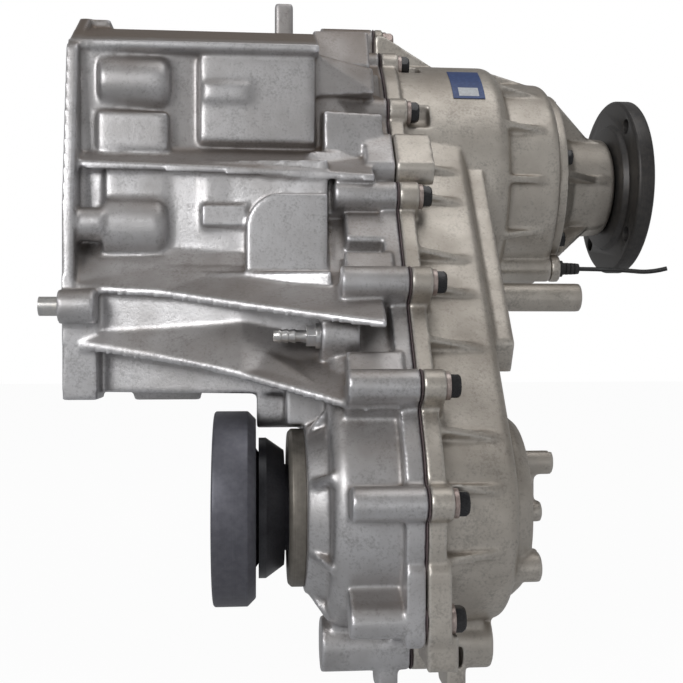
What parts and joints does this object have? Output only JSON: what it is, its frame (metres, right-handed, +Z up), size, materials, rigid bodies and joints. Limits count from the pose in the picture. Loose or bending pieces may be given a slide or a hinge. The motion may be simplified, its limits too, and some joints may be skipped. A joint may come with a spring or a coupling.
{
  "type": "transfer case",
  "caption": "Ribbed cast transfer case with a chain case sloping down to a front output flange and a stepped clutch housing with a rear output flange.",
  "frame": {"origin": "on the main shaft axis at the gearbox mating face", "axes": "+X rearwards along the main shaft, +Z up, the front output on the -Y side"},
  "size_m": [0.3979, 0.3619, 0.421],
  "materials": {
    "front_casting": "as-cast aluminium, cool grey",
    "rear_casting": "as-cast aluminium, warmer grey",
    "machined_steel": "machined steel",
    "gear_steel": "hardened gear steel",
    "dark_flange": "dark phosphated steel",
    "gunmetal": "satin dark coating",
    "black_bolt": "glossy black coating on steel",
    "zinc": "zinc plate",
    "gasket": "black sealing compound",
    "seal_rubber": "moulded sealing lip",
    "lead_plastic": "black insulation",
    "coil": "wound coil in a steel shell",
    "friction": "paper friction lining",
    "plug_plastic": "black plug"
  },
  "bodies": {
    "casing": {"front_case": "front_casting", "rear_case": "rear_casting", "output_retainer": "rear_casting", "case_gasket": "gasket", "case_bolts": "black_bolt", "ring_dowel": "zinc", "input_retainer": "machined_steel", "input_retainer_bolts": "black_bolt", "input_seal": "seal_rubber", "annulus_gear": "gear_steel", "annulus_snap_ring": "machined_steel", "shift_rail": "machined_steel", "clutch_coil": "coil", "rear_seal": "seal_rubber", "retainer_bolts": "black_bolt", "seal_carrier": "machined_steel", "front_seal": "seal_rubber", "hose_barb": "zinc", "fill_plug": "plug_plastic", "lead_grommet": "lead_plastic", "coil_lead": "lead_plastic", "input_bearing_outer": "machined_steel", "rear_bearing_outer": "machined_steel", "front_bearing_outer": "machined_steel", "tail_bearing": "machined_steel", "drive_chain": "gear_steel"},
    "main_line": {"mainshaft": "gear_steel", "clutch_hub": "machined_steel", "clutch_friction_plates": "friction", "tone_wheel": "machined_steel", "rear_flange": "dark_flange", "rear_flange_nut": "zinc", "rear_bearing_inner": "machined_steel"},
    "input_line": {"input_shaft": "gear_steel", "input_bearing_inner": "machined_steel", "pilot_bearing": "zinc"},
    "input_balls": {"input_bearing_balls": "zinc"},
    "rear_balls": {"rear_bearing_balls": "zinc"},
    "front_balls": {"front_bearing_balls": "zinc"},
    "drive_line": {"drive_sprocket": "gear_steel", "clutch_drum": "machined_steel", "clutch_steel_plates": "machined_steel"},
    "front_line": {"front_output_shaft": "gear_steel", "driven_sprocket": "gear_steel", "front_bearing_inner": "machined_steel", "front_flange": "gunmetal", "front_dust_cone": "black_bolt", "front_flange_nut": "zinc"},
    "carrier": {"planet_carrier": "gear_steel", "planet_pins": "machined_steel"},
    "planet_1": {"planet_gear_1": "gear_steel"},
    "planet_2": {"planet_gear_2": "gear_steel"},
    "planet_3": {"planet_gear_3": "gear_steel"},
    "planet_4": {"planet_gear_4": "gear_steel"},
    "sleeve": {"range_sleeve": "gear_steel"},
    "fork": {"range_fork": "machined_steel"},
    "selector": {"selector_shaft": "machined_steel", "selector_lever": "machined_steel"},
    "armature": {"pressure_plate": "machined_steel"}
  },
  "joints": [
    {"name": "mainshaft_spin", "type": "hinge", "parent": "casing", "child": "main_line", "pos_m": [0, 0, 0], "axis": [1, 0, 0], "continuous": true, "deforming": ["drive_chain"]},
    {"name": "input_spin", "type": "hinge", "parent": "casing", "child": "input_line", "pos_m": [0, 0, 0], "axis": [1, 0, 0], "continuous": true},
    {"name": "input_balls_spin", "type": "hinge", "parent": "casing", "child": "input_balls", "pos_m": [0, 0, 0], "axis": [1, 0, 0], "continuous": true},
    {"name": "rear_balls_spin", "type": "hinge", "parent": "casing", "child": "rear_balls", "pos_m": [0, 0, 0], "axis": [1, 0, 0], "continuous": true},
    {"name": "front_balls_spin", "type": "hinge", "parent": "casing", "child": "front_balls", "pos_m": [0, -0.16018, -0.20725], "axis": [1, 0, 0], "continuous": true},
    {"name": "drive_sprocket_spin", "type": "hinge", "parent": "casing", "child": "drive_line", "pos_m": [0, 0, 0], "axis": [1, 0, 0], "continuous": true},
    {"name": "front_output_spin", "type": "hinge", "parent": "casing", "child": "front_line", "pos_m": [0, -0.16018, -0.20725], "axis": [1, 0, 0], "continuous": true},
    {"name": "carrier_spin", "type": "hinge", "parent": "casing", "child": "carrier", "pos_m": [0, 0, 0], "axis": [1, 0, 0], "continuous": true},
    {"name": "planet_1_spin", "type": "hinge", "parent": "carrier", "child": "planet_1", "pos_m": [0, 0.04725, 0], "axis": [1, 0, 0], "continuous": true},
    {"name": "planet_2_spin", "type": "hinge", "parent": "carrier", "child": "planet_2", "pos_m": [0, 0, 0.04725], "axis": [1, 0, 0], "continuous": true},
    {"name": "planet_3_spin", "type": "hinge", "parent": "carrier", "child": "planet_3", "pos_m": [0, -0.04725, 0], "axis": [1, 0, 0], "continuous": true},
    {"name": "planet_4_spin", "type": "hinge", "parent": "carrier", "child": "planet_4", "pos_m": [0, 0, -0.04725], "axis": [1, 0, 0], "continuous": true},
    {"name": "selector_turn", "type": "hinge", "parent": "casing", "child": "selector", "pos_m": [0.1465, 0.01768, -0.01768], "axis": [0, 0.7071, 0.7071], "range_deg": [0, 45]},
    {"name": "fork_slide", "type": "slide", "parent": "casing", "child": "fork", "axis": [1, 0, 0], "range_m": [0, 0.019]},
    {"name": "sleeve_slide", "type": "slide", "parent": "main_line", "child": "sleeve", "axis": [1, 0, 0], "range_m": [0, 0.019]},
    {"name": "armature_slide", "type": "slide", "parent": "main_line", "child": "armature", "axis": [1, 0, 0], "range_m": [-0.0011, 0]}
  ],
  "couplings": [
    {"joint": "input_spin", "follows": "mainshaft_spin", "ratio": 1},
    {"joint": "drive_sprocket_spin", "follows": "mainshaft_spin", "ratio": 1},
    {"joint": "front_output_spin", "follows": "mainshaft_spin", "ratio": 1},
    {"joint": "input_balls_spin", "follows": "mainshaft_spin", "ratio": 0.41429},
    {"joint": "rear_balls_spin", "follows": "mainshaft_spin", "ratio": 0.40769},
    {"joint": "front_balls_spin", "follows": "mainshaft_spin", "ratio": 0.4},
    {"joint": "carrier_spin", "follows": "mainshaft_spin", "ratio": 0.33333},
    {"joint": "planet_1_spin", "follows": "mainshaft_spin", "ratio": -1.3333},
    {"joint": "planet_2_spin", "follows": "mainshaft_spin", "ratio": -1.3333},
    {"joint": "planet_3_spin", "follows": "mainshaft_spin", "ratio": -1.3333},
    {"joint": "planet_4_spin", "follows": "mainshaft_spin", "ratio": -1.3333},
    {"joint": "selector_turn", "follows": "fork_slide", "rad_per_m": 40.969},
    {"joint": "sleeve_slide", "follows": "fork_slide", "ratio": 1}
  ]
}
